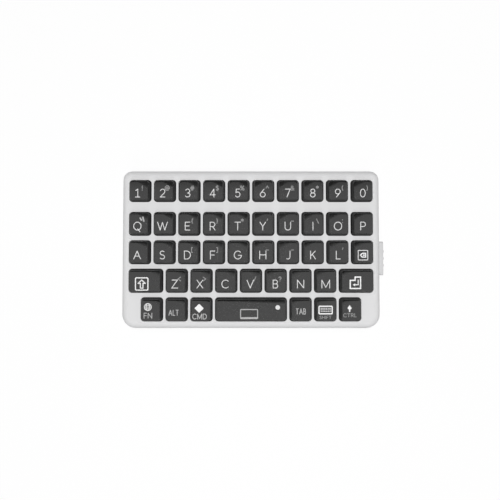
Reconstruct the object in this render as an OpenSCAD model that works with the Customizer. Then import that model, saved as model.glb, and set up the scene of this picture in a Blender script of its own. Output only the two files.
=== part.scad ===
// Pocket wireless keyboard: a two-part case, hard keys on a rubber mat, a circuit board,
// a flat battery, a charging socket and a slide power switch.
// Millimetres. Z is up, and Y points to the number row.
// The origin is on the desk face, under the middle of the case.

/* [Case] */
// From the outermost key cells to the side of the case
side_margin = 1.9; // [1.8:0.1:6]
// From the number row's windows to the back of the case
back_margin = 2.88; // [2.6:0.02:8]
// From the space bar's window to the front of the case
front_margin = 2.15; // [2.05:0.05:8]
// Corner radius at the back, seen from above
back_corner_r = 2.7; // [2.2:0.1:4]
// Corner radius at the front, seen from above
front_corner_r = 4.1; // [3.6:0.1:5]
// Radius of the edge round the top face
top_edge_r = 2.0; // [0.6:0.1:2]
// Radius of the edge round the underside
base_edge_r = 1.2; // [0.6:0.1:1.4]
// Radius of the small edges that meet at the parting line
seam_r = 0.15; // [0.05:0.05:0.2]
// Thickness of the side walls
side_wall = 1.2; // [1:0.1:1.3]
// Thickness of the base
base_wall = 1.2; // [1.1:0.1:2]
// Thickness of the top plate
top_wall = 1.1; // [0.8:0.1:2]
// Height of the parting line above the desk
parting_z = 4.2; // [4.1:0.1:4.4]

/* [Keys] */
// Distance from one key to the next along a row
key_pitch = 7.12; // [7:0.02:8]
// Distance from one letter row to the next
row_pitch = 8.21; // [8:0.01:9]
// Distance from the number row to the first letter row
number_row_pitch = 9.54; // [9.4:0.01:10.5]
// Bar of the top plate between two letter windows in a row
key_bar = 0.6; // [0.5:0.02:1]
// Bar of the top plate between two number windows
number_bar = 0.64; // [0.5:0.01:1.1]
// Depth of a letter key's window, front to back
window_d = 6.96; // [6.5:0.02:7.2]
// Depth of a number key's window, front to back
number_window_d = 6.44; // [6:0.02:6.6]
// Corner radius of a window
window_r = 1.05; // [0.6:0.05:1.4]
// Gap between a key and its window
key_clear = 0.24; // [0.1:0.01:0.26]
// Height of the keys above the top face
key_proud = 2.2; // [1.6:0.1:3]
// Height of the upright part of a key's wall above the top face
key_shoulder = 1.8; // [0.2:0.05:2.1]
// How much each wall of a cap leans in between the case's face and the shoulder
cap_lean = 0.3; // [0:0.05:0.6]
// Width of the rounding between a key's wall and its top
cap_round = 0.45; // [0.3:0.05:1.2]
// How far a key's top falls away from its back corner nearest the middle of the keyboard
fall_reach = 2.4; // [1:0.1:3]
// Depth of that fall at the corner
fall_depth = 0.42; // [0.1:0.02:0.6]
// Direction of that fall, in degrees from the row
fall_turn = 60; // [40:1:85]
// The same for the space bar: how far its top falls away, how deep and which way
space_fall_reach = 1.6; // [0.6:0.1:2.4]
space_fall_depth = 0.28; // [0.1:0.02:0.6]
space_fall_turn = 88; // [60:1:89]
// How far the retaining flange reaches past a key's wall
flange_over = 0.38; // [0.25:0.01:0.4]
// Thickness of the retaining flange
flange_t = 0.5; // [0.3:0.05:1]
// Gap between the flange and the top plate when the key is up
stop_gap = 0.05; // [0.02:0.01:0.1]
// Diameter of the stem under a key
stem_d = 2.6; // [2:0.1:3]
// Height of the stem under a key
stem_h = 0.25; // [0.1:0.05:0.6]
// Distance that a key travels
key_travel = 0.6; // [0.4:0.05:0.7]

/* [Rubber mat] */
// Thickness of the mat's web
mat_t = 0.4; // [0.3:0.05:0.6]
// Height that a dome keeps when its key is down
dome_spare = 0.15; // [0.15:0.05:0.5]
// Diameter of a dome at the web
dome_d = 4.6; // [4:0.1:5.4]
// Wall thickness of a dome
dome_t = 0.3; // [0.2:0.05:0.4]
// Thickness of the solid top of a dome
dome_core = 0.4; // [0.3:0.05:0.5]
// Gap between a stem and its dome when the key is up
stem_gap = 0.02; // [0.01:0.01:0.05]
// Gap between the mat and the posts that pass it
mat_clear = 0.15; // [0.1:0.05:0.3]

/* [Circuit board] */
// Thickness of the board
board_t = 0.8; // [0.6:0.1:1.2]
// Gap between the board's edge and the case
board_clear = 0.25; // [0.1:0.05:0.5]

/* [Screws] */
// Thread diameter
screw_d = 1.2; // [1:0.1:1.3]
// Head diameter
screw_head_d = 2.2; // [1.8:0.1:2.3]
// Head height
screw_head_h = 0.6; // [0.4:0.1:0.8]
// Width of the cross recess in a head
cross_w = 0.3; // [0.2:0.05:0.5]
// Depth of the head's recess in the underside
screw_recess = 1.0; // [0.8:0.1:1.4]
// How far a screw bites into its post
screw_bite = 1.4; // [0.8:0.1:1.6]
// Gap round a screw's thread in its post
thread_gap = 0.02; // [0.01:0.01:0.05]
// Gap round a screw where it only passes through, and round its head
screw_clear = 0.15; // [0.1:0.05:0.2]
// Diameter of the posts between the number row and the letters
back_post_d = 2.2; // [2:0.1:2.3]
// Diameter of the posts in the front corners
front_post_d = 3.4; // [2.4:0.1:3.4]
// From the middle of the case to a back post
back_post_x = 28.5; // [20:0.5:32]
// From the side of the case to a front post
front_post_side = 3.6; // [3.3:0.1:3.8]
// From the front of the case to a front post
front_post_front = 4.25; // [3.3:0.05:5]

/* [Charging socket] */
// Width of the socket's metal sleeve
socket_w = 8.94; // [8.5:0.02:9.5]
// Height of the socket's metal sleeve
socket_h = 3.2; // [3:0.1:3.4]
// Length of the socket's metal sleeve
socket_l = 7.3; // [6:0.1:9]
// Thickness of the sleeve's metal
socket_wall = 0.32; // [0.2:0.02:0.4]
// Thickness of the socket's closed end
socket_back = 0.8; // [0.4:0.1:1.5]
// Thickness of the contact tongue
tongue_t = 0.7; // [0.5:0.05:0.9]
// Width of the contact tongue
tongue_w = 6.7; // [5:0.1:7]
// From the mouth of the sleeve to the tip of the tongue
tongue_set_back = 0.6; // [0.2:0.1:1.5]
// Gap round the sleeve in the case, and under it
socket_clear = 0.15; // [0.1:0.05:0.3]
// From the back of the case to the mouth of the sleeve
socket_set_back = 0.25; // [0.1:0.05:0.6]

/* [Power switch] */
// Distance that the knob slides
knob_travel = 2; // [1:0.1:3]
// From the middle of the case to the knob at rest, towards the front
knob_from_middle = 2.65; // [0:0.05:6]
// Length of the thumb plate
thumb_l = 9.9; // [8:0.1:14]
// Height of the thumb plate
thumb_h = 4; // [3:0.1:4.4]
// Thickness of the thumb plate
thumb_t = 1.2; // [0.6:0.1:2]
// Corner radius of the thumb plate
thumb_r = 0.6; // [0.3:0.1:1]
// Height of the thumb plate's middle above the parting line
thumb_rise = 0.2; // [0:0.1:0.4]
// Gap between the thumb plate and the side of the case
thumb_gap = 0.1; // [0.05:0.05:0.3]
// Number of grip ridges
ridge_count = 3; // [1:1:4]
// Distance from one grip ridge to the next
ridge_pitch = 2.05; // [1.5:0.05:2.4]
// How far a ridge stands out of the thumb plate
ridge_proud = 0.35; // [0.2:0.05:0.5]
// From the end of a ridge to the edge of the thumb plate
ridge_margin = 0.5; // [0.3:0.1:1]
// Length of the neck that passes through the wall
neck_l = 3.2; // [2.4:0.1:4]
// Height of the neck
neck_h = 1.2; // [1.1:0.05:1.3]
// Gap round the neck in its slot
neck_gap = 0.1; // [0.05:0.05:0.15]
// Length of the switch
switch_l = 8; // [7.5:0.1:10]
// Width of the switch, out to its front face
switch_w = 3.4; // [2.8:0.1:4]
// Height of the switch
switch_h = 2; // [1.8:0.1:2.2]
// From the switch's front face to the inside of the wall
switch_set_back = 1.4; // [1.2:0.1:2]
// Width of the slider's tip
tip_l = 1.2; // [1:0.1:1.6]
// How far the slider reaches into the switch
tip_in = 1; // [0.6:0.1:1.5]
// Height of the slider's tip
tip_h = 0.7; // [0.5:0.05:0.75]
// Gap round the slider, in the switch and in the knob
tip_gap = 0.05; // [0.03:0.01:0.1]

/* [Battery] */
// Length of the cell
cell_l = 32; // [25:0.5:40]
// Width of the cell
cell_w = 22; // [18:0.5:24]
// Thickness of the cell
cell_t = 2.6; // [2:0.1:2.7]
// Corner radius of the cell
cell_r = 1.5; // [0.8:0.1:2.5]
// From the middle of the case to the middle of the cell, towards the front
cell_from_middle = 5; // [3:0.5:8]
// Thickness of the foam pad under the cell
pad_t = 0.2; // [0.1:0.05:0.4]
// Margin of the foam pad inside the cell's edge
pad_margin = 1; // [0.5:0.5:3]
// Height of the low wall that keeps the cell in place
fence_h = 1.5; // [0.8:0.1:2]
// Thickness of that wall
fence_t = 0.8; // [0.6:0.1:1.2]
// Gap between that wall and the cell
fence_gap = 0.25; // [0.1:0.05:0.5]
// Width of the strip that carries the cell's solder points
strip_w = 2; // [1.5:0.1:3]
// Diameter of a wire
wire_d = 0.8; // [0.6:0.1:1]
// Distance between the two wires
wire_pitch = 2; // [1.4:0.1:3]
// How far the wires reach past the cell's strip
wire_reach = 6; // [4:0.5:9]

/* [Radio module and light] */
// Length of the radio module's own board
module_l = 14; // [10:0.5:18]
// Width of the radio module's own board
module_w = 11; // [9:0.5:14]
// Thickness of the radio module's own board
module_t = 0.8; // [0.6:0.1:1]
// Height of the shielding can
can_h = 1.3; // [0.8:0.1:1.6]
// Margin round the shielding can
can_margin = 0.8; // [0.4:0.1:1.5]
// Corner radius of the shielding can
can_r = 0.4; // [0.2:0.1:1]
// From the middle of the case to the middle of the radio module
module_x = 26; // [25:0.5:27]
// Width of the status light
light_w = 3; // [2:0.1:4]
// Height of the status light
light_h = 1.9; // [1.6:0.1:2]
// Depth of the status light, front to back
light_d = 1.3; // [1:0.1:2]
// Radius of the hole that it shines through
light_hole_r = 0.5; // [0.3:0.05:0.6]
// Height of the light's lens above its lower face
light_lens = 0.75; // [0.6:0.05:0.9]
// From the middle of the socket to the light
light_x = 9.5; // [8:0.5:14]
// Gap between the light and the inside of the wall
light_gap = 0.1; // [0.05:0.05:0.3]

/* [Hidden] */
$fn = 48;
e = 0.01;          // overrun of a cut past the face that it leaves
past = 1;          // overrun of a cut that goes on outside the part
columns = 10;
cap_facets = 24;   // facets of a full circle on the faceted caps
round_steps = 3;   // steps of the rounding at a cap's top
fall_power = 1.5;  // how sharply the fall at a cap's corner sets in
rim_w = 2.1;       // width of the band that carries the rounded edges
lip_t = 0.55;      // thickness of the lip that rises inside the top case
lip_h = 0.7;       // height of that lip
lip_gap = 0.05;    // gap round that lip

case_colour = [0.80, 0.80, 0.80];
key_colour = [0.17, 0.17, 0.18];

// Each row: the column where it starts, then its keys, each with its width in columns
function single(names) = [for (n = names) [str("key_", n), 1]];
ROWS = [
    [0, single(["1", "2", "3", "4", "5", "6", "7", "8", "9", "0"])],
    [0, single(["q", "w", "e", "r", "t", "y", "u", "i", "o", "p"])],
    [0, single(["a", "s", "d", "f", "g", "h", "j", "k", "l", "backspace"])],
    [0, concat([["key_caps", 1.5]], single(["z", "x", "c", "v", "b", "n", "m"]),
               [["key_enter", 1.5]])],
    [0.5, concat(single(["fn", "alt", "cmd"]), [["key_space", 3]],
                 single(["tab", "shift", "ctrl"]))],
];

// Plan of the case and of the key rows
case_w = columns * key_pitch + 2 * side_margin;
case_d = back_margin + number_window_d / 2 + number_row_pitch + 3 * row_pitch
    + window_d / 2 + front_margin;
half_w = case_w / 2;
half_d = case_d / 2;
inner_x = half_w - side_wall;
inner_y = half_d - side_wall;
number_row_y = half_d - back_margin - number_window_d / 2;
function row_y(row) = row == 0 ? number_row_y
    : number_row_y - number_row_pitch - (row - 1) * row_pitch;
function columns_before(keys, i) = i == 0 ? 0 : columns_before(keys, i - 1) + keys[i - 1][1];
function bar(row) = row == 0 ? number_bar : key_bar;

// Each key: its name, the middle of its window, the window's width and depth
KEYS = [for (row = [0 : len(ROWS) - 1]) let (keys = ROWS[row][1])
    for (i = [0 : len(keys) - 1])
        let (start = ROWS[row][0] + columns_before(keys, i), wide = keys[i][1])
        [keys[i][0],
         (start + wide / 2 - columns / 2) * key_pitch,
         row_y(row),
         wide * key_pitch - bar(row),
         row == 0 ? number_window_d : window_d]];

// Heights above the desk, from the base up
socket_z = base_wall + socket_clear;
board_z = socket_z + socket_h;
mat_z = board_z + board_t;
web_z = mat_z + mat_t;
dome_h = key_travel + dome_spare;
dome_z = web_z + dome_h;
stem_z = dome_z + stem_gap;
flange_z = stem_z + stem_h;
ceiling_z = flange_z + flange_t + stop_gap;
face_z = ceiling_z + top_wall;

// Screws: [x, y, post diameter]
back_post_y = (row_y(0) - number_window_d / 2 + row_y(1) + window_d / 2) / 2;
SCREWS = [for (side = [-1, 1])
    each [[side * back_post_x, back_post_y, back_post_d],
          [side * (half_w - front_post_side), front_post_front - half_d, front_post_d]]];

// Power switch: the slider's tip, the neck round it and the slot in the wall share one height
knob_y = -knob_from_middle;
switch_x = inner_x - switch_set_back;
switch_z = board_z - switch_h;
neck_z = parting_z - neck_gap - neck_h;
tip_z = neck_z + neck_h / 2;
tip_out = switch_set_back;
neck_x = switch_x + tip_out / 2;
thumb_x = half_w + thumb_gap;

// Battery
pad_z = base_wall;
cell_z = pad_z + pad_t;
cell_y = -cell_from_middle;

// Status light
light_y = inner_y - light_gap - light_d;
light_hole_z = board_z - light_h + light_lens;

// Rectangle with round corners, made of true arcs
module rounded_rect(w, d, r) {
    square([w, d - 2 * r], center = true);
    square([w - 2 * r, d], center = true);
    for (x = [-1, 1], y = [-1, 1])
        translate([x * (w / 2 - r), y * (d / 2 - r)]) circle(r);
}

// Outline of the case, drawn in by a distance
module case_outline(inset) {
    w = half_w - inset;
    d = half_d - inset;
    back_r = back_corner_r - inset;
    front_r = front_corner_r - inset;
    translate([-w, front_r - d]) square([2 * w, 2 * d - back_r - front_r]);
    translate([back_r - w, 0]) square([2 * (w - back_r), d]);
    translate([front_r - w, -d]) square([2 * (w - front_r), d]);
    for (x = [-1, 1]) {
        translate([x * (w - back_r), d - back_r]) circle(back_r);
        translate([x * (w - front_r), front_r - d]) circle(front_r);
    }
}

// Section through the case's rim, its outer face at x = out, rounded at the bottom and top
module rim_section(out, z0, z1, r0, r1) {
    difference() {
        translate([out - rim_w, z0]) square([rim_w, z1 - z0]);
        translate([out - r1, z1 - r1]) difference() {
            square(r1 + past);
            circle(r1);
        }
        translate([out - r0, z0 + r0]) mirror([0, 1]) difference() {
            square(r0 + past);
            circle(r0);
        }
    }
}

// Solid slab with the case's outline and rounded bottom and top edges
module slab(z0, z1, r0, r1) {
    translate([0, 0, z0]) linear_extrude(z1 - z0) case_outline(rim_w);
    side_l = case_d - back_corner_r - front_corner_r;
    for (side = [0, 1]) mirror([side, 0, 0]) {
        translate([half_w, half_d - back_corner_r, 0]) rotate([90, 0, 0])
            linear_extrude(side_l) rim_section(0, z0, z1, r0, r1);
        translate([half_w - back_corner_r, half_d - back_corner_r, 0])
            rotate_extrude(angle = 90) rim_section(back_corner_r, z0, z1, r0, r1);
        translate([half_w - front_corner_r, front_corner_r - half_d, 0])
            rotate([0, 0, -90]) rotate_extrude(angle = 90)
                rim_section(front_corner_r, z0, z1, r0, r1);
    }
    translate([back_corner_r - half_w, half_d, 0]) rotate([90, 0, 90])
        linear_extrude(case_w - 2 * back_corner_r) rim_section(0, z0, z1, r0, r1);
    mirror([0, 1, 0]) translate([front_corner_r - half_w, half_d, 0]) rotate([90, 0, 90])
        linear_extrude(case_w - 2 * front_corner_r) rim_section(0, z0, z1, r0, r1);
}

// Space of the charging socket from its mouth inwards, grown by a gap and as long as asked
module socket_space(gap, length) {
    translate([0, half_d - socket_set_back, socket_z + socket_h / 2]) rotate([90, 0, 0])
        linear_extrude(length)
            rounded_rect(socket_w + 2 * gap, socket_h + 2 * gap, socket_h / 2 + gap - e);
}

module port_opening() {
    translate([0, socket_set_back + past, 0]) socket_space(socket_clear, socket_l);
}

// Slot in the wall for the knob's neck, open at the top of the bottom case
module neck_slot() {
    translate([inner_x - past, knob_y - neck_l / 2 - neck_gap, neck_z - neck_gap])
        cube([side_wall + 2 * past, neck_l + knob_travel + 2 * neck_gap,
              parting_z + lip_h - neck_z + neck_gap + past]);
}

module top_case() {
    color(case_colour) {
        difference() {
            slab(parting_z, face_z, seam_r, top_edge_r);
            translate([0, 0, parting_z - e]) linear_extrude(ceiling_z - parting_z + e)
                case_outline(side_wall);
            translate([0, 0, parting_z - e]) linear_extrude(lip_h + lip_gap + e)
                case_outline(side_wall - lip_t - lip_gap);
            translate([0, 0, ceiling_z - e]) linear_extrude(top_wall + 2 * e)
                for (k = KEYS) translate([k[1], k[2]]) rounded_rect(k[3], k[4], window_r);
            port_opening();
        }
        for (s = SCREWS) translate([s[0], s[1], mat_z]) difference() {
            cylinder(d = s[2], h = ceiling_z - mat_z + e);
            translate([0, 0, -e])
                cylinder(d = screw_d + 2 * thread_gap, h = screw_bite + screw_clear + e);
        }
    }
}

module bottom_case() {
    color(case_colour) difference() {
        union() {
            difference() {
                slab(0, parting_z, base_edge_r, seam_r);
                translate([0, 0, base_wall]) linear_extrude(parting_z) case_outline(side_wall);
            }
            translate([0, 0, parting_z - e]) linear_extrude(lip_h + e) difference() {
                case_outline(side_wall - lip_t);
                case_outline(side_wall);
            }
            for (s = SCREWS) translate([s[0], s[1], base_wall - e])
                cylinder(d = s[2], h = board_z - base_wall + e);
            cell_fence();
        }
        for (s = SCREWS) translate([s[0], s[1], -e]) {
            cylinder(d = screw_head_d + 2 * screw_clear, h = screw_recess + e);
            cylinder(d = screw_d + 2 * screw_clear, h = board_z + 2 * e);
        }
        port_opening();
        neck_slot();
        translate([light_x, half_d + past, light_hole_z]) rotate([90, 0, 0])
            cylinder(r = light_hole_r, h = side_wall + 2 * past);
    }
}

// Low wall on the base round the cell, open where the cell's strip and wires come out
module cell_fence() {
    inside = cell_r + fence_gap;
    translate([0, cell_y, base_wall - e]) linear_extrude(fence_h + e) difference() {
        rounded_rect(cell_l + 2 * (fence_gap + fence_t), cell_w + 2 * (fence_gap + fence_t),
                     inside + fence_t);
        rounded_rect(cell_l + 2 * fence_gap, cell_w + 2 * fence_gap, inside);
        translate([0, -cell_w / 2 + cell_r - fence_gap])
            square([cell_l, cell_w - 2 * (cell_r - fence_gap)]);
    }
}

// Stems and domes stand under the middle of a key, and a key three columns wide has three
function supports(k) = k[3] > 2.5 * key_pitch ? [-key_pitch, 0, key_pitch] : [0];

// One key: a cap that rounds over into its top, on a flange that the top plate keeps in
// One level of a keycap: round corners, one of them cut off by a line at a distance from it
module cap_level(w, d, r, side, turn, cut) {
    on_back = max(cut / cos(turn), r);
    on_side = min(max(cut / sin(turn), r), d - r);
    outer_drop = max(0, (cut - w * cos(turn)) / sin(turn));
    corners = [[w / 2 - r, r - d / 2], [r - w / 2, r - d / 2],
               [r - w / 2, d / 2 - r - outer_drop], [w / 2 - r, d / 2 - on_side],
               if (on_back < w - r) [w / 2 - on_back, d / 2 - r]];
    for (c = corners) translate([side * c[0], c[1], -e])
        cylinder(r = r, h = e, $fn = cap_facets);
}

module keycap(k) {
    w = k[3] - 2 * key_clear;
    d = k[4] - 2 * key_clear;
    r = window_r - key_clear;
    long = len(supports(k)) > 1;
    reach = long ? space_fall_reach : fall_reach;
    depth = long ? space_fall_depth : fall_depth;
    turn = long ? space_fall_turn : fall_turn;
    side = k[1] > e ? -1 : 1;
    round_h = key_proud - key_shoulder;
    wall_h = max(key_shoulder - depth, e);
    wall_in = 2 * cap_lean * wall_h / key_shoulder;
    top_w = w - 2 * cap_lean;
    top_d = d - 2 * cap_lean;
    color(key_colour) translate([k[1], k[2], 0]) {
        hull() {
            translate([0, 0, flange_z + flange_t])
                linear_extrude(face_z - flange_z - flange_t)
                    rounded_rect(w, d, r, $fn = cap_facets);
            translate([0, 0, face_z + wall_h - e]) linear_extrude(e)
                rounded_rect(w - wall_in, d - wall_in, r, $fn = cap_facets);
            for (i = [0 : round_steps])
                let (up = round_h * sin(90 * i / round_steps),
                     in = cap_round * (1 - cos(90 * i / round_steps)),
                     left = reach * min(1, pow((round_h - up) / depth, 1 / fall_power)))
                    translate([0, 0, face_z + key_shoulder + up])
                        cap_level(top_w - 2 * in, top_d - 2 * in, r - in / 2, side, turn,
                                  max(0, reach - left - in * (cos(turn) + sin(turn))));
        }
        translate([0, 0, flange_z]) linear_extrude(flange_t)
            rounded_rect(w + 2 * flange_over, d + 2 * flange_over, r + flange_over);
        for (x = supports(k)) translate([x, 0, stem_z])
            cylinder(d = stem_d, h = stem_h + e);
    }
}

// Web of rubber on the board, with a hollow dome under each stem
module rubber_mat() {
    top_r = stem_d / 2;
    foot_r = dome_d / 2;
    color([0.75, 0.75, 0.73]) difference() {
        union() {
            translate([0, 0, mat_z]) linear_extrude(mat_t) difference() {
                case_outline(side_wall + board_clear);
                for (s = SCREWS) translate([s[0], s[1]]) circle(d = s[2] + 2 * mat_clear);
            }
            for (k = KEYS, x = supports(k)) translate([k[1] + x, k[2], web_z - e])
                cylinder(r1 = foot_r, r2 = top_r, h = dome_h + e);
        }
        for (k = KEYS, x = supports(k)) translate([k[1] + x, k[2], mat_z - e])
            cylinder(r1 = foot_r - dome_t, r2 = top_r - dome_t,
                     h = mat_t + dome_h - dome_core + e);
    }
}

module circuit_board() {
    color([0.05, 0.30, 0.16]) translate([0, 0, board_z]) linear_extrude(board_t)
        difference() {
            case_outline(side_wall + board_clear);
            for (s = SCREWS) translate([s[0], s[1]]) circle(d = screw_d + 2 * screw_clear);
        }
}

// Radio and key controller: a small board of its own with a shielding can
module radio_module() {
    color([0.72, 0.72, 0.74]) translate([-module_x, 0, board_z - module_t]) {
        linear_extrude(module_t) square([module_w, module_l], center = true);
        translate([0, 0, -can_h]) linear_extrude(can_h)
            rounded_rect(module_w - 2 * can_margin, module_l - 2 * can_margin, can_r);
    }
}

module battery() {
    color([0.70, 0.71, 0.73]) translate([0, cell_y, cell_z]) {
        linear_extrude(cell_t) rounded_rect(cell_l, cell_w, cell_r);
        translate([cell_l / 2 - e, -cell_w / 2 + cell_r, 0])
            cube([strip_w + e, cell_w - 2 * cell_r, cell_t / 2]);
    }
}

module battery_pad() {
    color([0.15, 0.15, 0.15]) translate([0, cell_y, pad_z]) linear_extrude(pad_t)
        rounded_rect(cell_l - 2 * pad_margin, cell_w - 2 * pad_margin, cell_r);
}

// Point and direction on a cubic curve through four control points
function on_curve(p, t) = pow(1 - t, 3) * p[0] + 3 * t * pow(1 - t, 2) * p[1]
    + 3 * t * t * (1 - t) * p[2] + pow(t, 3) * p[3];
function along_curve(p, t) = let (v = 3 * pow(1 - t, 2) * (p[1] - p[0])
    + 6 * t * (1 - t) * (p[2] - p[1]) + 3 * t * t * (p[3] - p[2])) v / norm(v);

// Wire along a curve that lies in an upright plane facing Y
module wire(p, sides = 8, steps = 12) {
    across = [0, 1, 0];
    points = [for (i = [0 : steps], j = [0 : sides - 1])
        let (a = 360 * j / sides, up = cross(along_curve(p, i / steps), across))
        on_curve(p, i / steps) + wire_d / 2 * (cos(a) * across + sin(a) * up)];
    faces = [
        [for (j = [0 : sides - 1]) j],
        [for (j = [sides - 1 : -1 : 0]) steps * sides + j],
        for (i = [0 : steps - 1], j = [0 : sides - 1]) let (n = (j + 1) % sides)
            [i * sides + j, (i + 1) * sides + j, (i + 1) * sides + n, i * sides + n]];
    polyhedron(points, faces);
}

// Two wires from the cell's strip up to the underside of the board
module battery_lead() {
    start_x = cell_l / 2 + strip_w;
    start_z = cell_z + cell_t / 4;
    rise = board_z - start_z;
    for (side = [-1, 1]) color(side < 0 ? [0.7, 0.05, 0.05] : [0.08, 0.08, 0.08])
        translate([start_x, cell_y + side * wire_pitch / 2, start_z])
            wire([[0, 0, 0], [wire_reach * 0.6, 0, 0], [wire_reach, 0, rise * 0.2],
                  [wire_reach, 0, rise]]);
}

module usb_socket() {
    color([0.75, 0.75, 0.77]) difference() {
        socket_space(0, socket_l);
        translate([0, e, 0]) socket_space(-socket_wall, socket_l - socket_back);
    }
    color([0.1, 0.1, 0.1])
        translate([-tongue_w / 2, half_d - socket_set_back - socket_l + socket_back - e,
                   socket_z + (socket_h - tongue_t) / 2])
            cube([tongue_w, socket_l - socket_back - tongue_set_back + e, tongue_t]);
}

// Slide switch under the board, with a window for its slider
module switch_body() {
    color([0.65, 0.65, 0.67]) difference() {
        translate([switch_x - switch_w, knob_y + knob_travel / 2 - switch_l / 2, switch_z])
            cube([switch_w, switch_l, switch_h]);
        translate([switch_x - tip_in, knob_y - tip_l / 2 - tip_gap, tip_z - tip_h / 2 - tip_gap])
            cube([tip_in + past, tip_l + knob_travel + 2 * tip_gap, tip_h + 2 * tip_gap]);
    }
}

module switch_slider() {
    color([0.1, 0.1, 0.1])
        translate([switch_x - tip_in + tip_gap, knob_y - tip_l / 2, tip_z - tip_h / 2])
            cube([tip_in + tip_out - tip_gap, tip_l, tip_h]);
}

// Ridged thumb plate outside the wall, its neck through the slot, holding the slider's tip
module switch_knob() {
    color(case_colour) difference() {
        union() {
            translate([thumb_x, knob_y, parting_z + thumb_rise]) rotate([90, 0, 90])
                linear_extrude(thumb_t) rounded_rect(thumb_l, thumb_h, thumb_r);
            for (i = [0 : ridge_count - 1])
                translate([thumb_x + thumb_t - ridge_proud,
                           knob_y + (i - (ridge_count - 1) / 2) * ridge_pitch,
                           parting_z + thumb_rise - thumb_h / 2 + ridge_margin])
                    cylinder(r = 2 * ridge_proud, h = thumb_h - 2 * ridge_margin);
            translate([neck_x, knob_y - neck_l / 2, neck_z])
                cube([thumb_x - neck_x + e, neck_l, neck_h]);
        }
        translate([neck_x - past, knob_y - tip_l / 2 - tip_gap, tip_z - tip_h / 2 - tip_gap])
            cube([switch_x + tip_out + tip_gap - neck_x + past, tip_l + 2 * tip_gap,
                  tip_h + 2 * tip_gap]);
    }
}

module status_led() {
    color([0.9, 0.95, 0.9]) {
        translate([light_x - light_w / 2, light_y, board_z - light_h])
            cube([light_w, light_d, light_h]);
    }
}

module case_screws() {
    color([0.6, 0.6, 0.62]) for (s = SCREWS) translate([s[0], s[1], screw_recess]) {
        translate([0, 0, -screw_head_h]) difference() {
            cylinder(d = screw_head_d, h = screw_head_h);
            translate([0, 0, -e]) for (a = [0, 90]) rotate([0, 0, a])
                translate([-screw_head_d / 3, -cross_w / 2, 0])
                    cube([screw_head_d * 2 / 3, cross_w, screw_head_h / 2]);
        }
        cylinder(d = screw_d, h = mat_z + screw_bite - screw_recess);
    }
}

for (k = KEYS) keycap(k);
top_case();
bottom_case();
rubber_mat();
circuit_board();
radio_module();
battery();
battery_pad();
battery_lead();
usb_socket();
switch_body();
switch_slider();
switch_knob();
status_led();
case_screws();
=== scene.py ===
import math

import bmesh
import bpy
from mathutils import Matrix, Vector
from mathutils.geometry import delaunay_2d_cdt


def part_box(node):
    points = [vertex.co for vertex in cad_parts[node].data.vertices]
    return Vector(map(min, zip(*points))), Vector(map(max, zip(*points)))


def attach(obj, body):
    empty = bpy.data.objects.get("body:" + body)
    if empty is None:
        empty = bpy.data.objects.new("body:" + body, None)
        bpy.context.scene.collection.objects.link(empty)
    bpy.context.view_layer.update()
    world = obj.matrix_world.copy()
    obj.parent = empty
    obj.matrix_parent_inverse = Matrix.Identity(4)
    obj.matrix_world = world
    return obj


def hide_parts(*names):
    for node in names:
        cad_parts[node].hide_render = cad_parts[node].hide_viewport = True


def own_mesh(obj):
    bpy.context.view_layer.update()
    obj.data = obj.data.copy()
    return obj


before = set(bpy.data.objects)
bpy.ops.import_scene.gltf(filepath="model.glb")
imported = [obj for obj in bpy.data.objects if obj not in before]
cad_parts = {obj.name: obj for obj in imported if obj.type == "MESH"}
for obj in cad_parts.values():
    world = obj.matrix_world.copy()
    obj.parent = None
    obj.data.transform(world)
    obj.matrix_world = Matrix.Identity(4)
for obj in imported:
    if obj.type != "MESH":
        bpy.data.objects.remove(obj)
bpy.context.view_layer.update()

MM = 0.001

# ---------------------------------------------------------------- camera, lamps and table top

SENSOR = 36             # mm
LENS = 29.93            # mm
CAMERA_PLACE = (-0.285, -3.815, 128.37)   # mm
CAMERA_TILT = 1.70      # degrees towards the number row
NEAREST, FARTHEST = 0.005, 20             # metres that the camera sees

# Each lamp: its place, the point it looks at, its size in metres, and its watts
LAMPS = {
    "softbox_top": ((0.0, 0.0, 0.50), (0, 0, 0), (0.10, 0.34), 2.05),
    "softbox_front": ((0.0, -0.42, 0.42), (0, 0.01, 0), (0.26, 0.30), 0.36),
    "softbox_long": ((0.0, 0.0, 0.50), (0, 0, 0), (0.05, 1.2), 0.20)}
ROOM_LIGHT = 0.18       # of the white that the camera sees

CARD_WIDTH, CARD_HEIGHT, CARD_Y = 0.30, 0.25, 0.095    # metres
CARD_BLACK = (0.005, 0.005, 0.005)

PAPER_REACH = 4.0       # metres from the middle
PAPER_DROP = 0.03 * MM  # below the keyboard, so the two faces don't mix
PAPER_LIT, PAPER_SEEN, PAPER_GLOW = 0.42, 0.94, 0.85
PAPER_CLEAR = 0.1 * MM  # length of a ray that the paper lets through


def place_camera():
    data = bpy.data.cameras.new("camera")
    data.sensor_width = SENSOR
    data.lens = LENS
    data.clip_start, data.clip_end = NEAREST, FARTHEST
    camera = bpy.data.objects.new("camera", data)
    camera.location = Vector(CAMERA_PLACE) * MM
    camera.rotation_euler = (math.radians(CAMERA_TILT), 0, 0)
    bpy.context.scene.collection.objects.link(camera)
    bpy.context.scene.camera = camera


def softbox(name, place, aim, size, watts):
    """Rectangular area lamp that looks at a point. It doesn't show in the things' gloss."""
    data = bpy.data.lights.new(name, "AREA")
    data.shape = "RECTANGLE"
    data.size, data.size_y = size
    data.energy = watts
    lamp = bpy.data.objects.new(name, data)
    lamp.location = place
    lamp.rotation_euler = (Vector(aim) - Vector(place)).to_track_quat("-Z", "Y").to_euler()
    lamp.visible_camera = lamp.visible_glossy = False
    bpy.context.scene.collection.objects.link(lamp)


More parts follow.
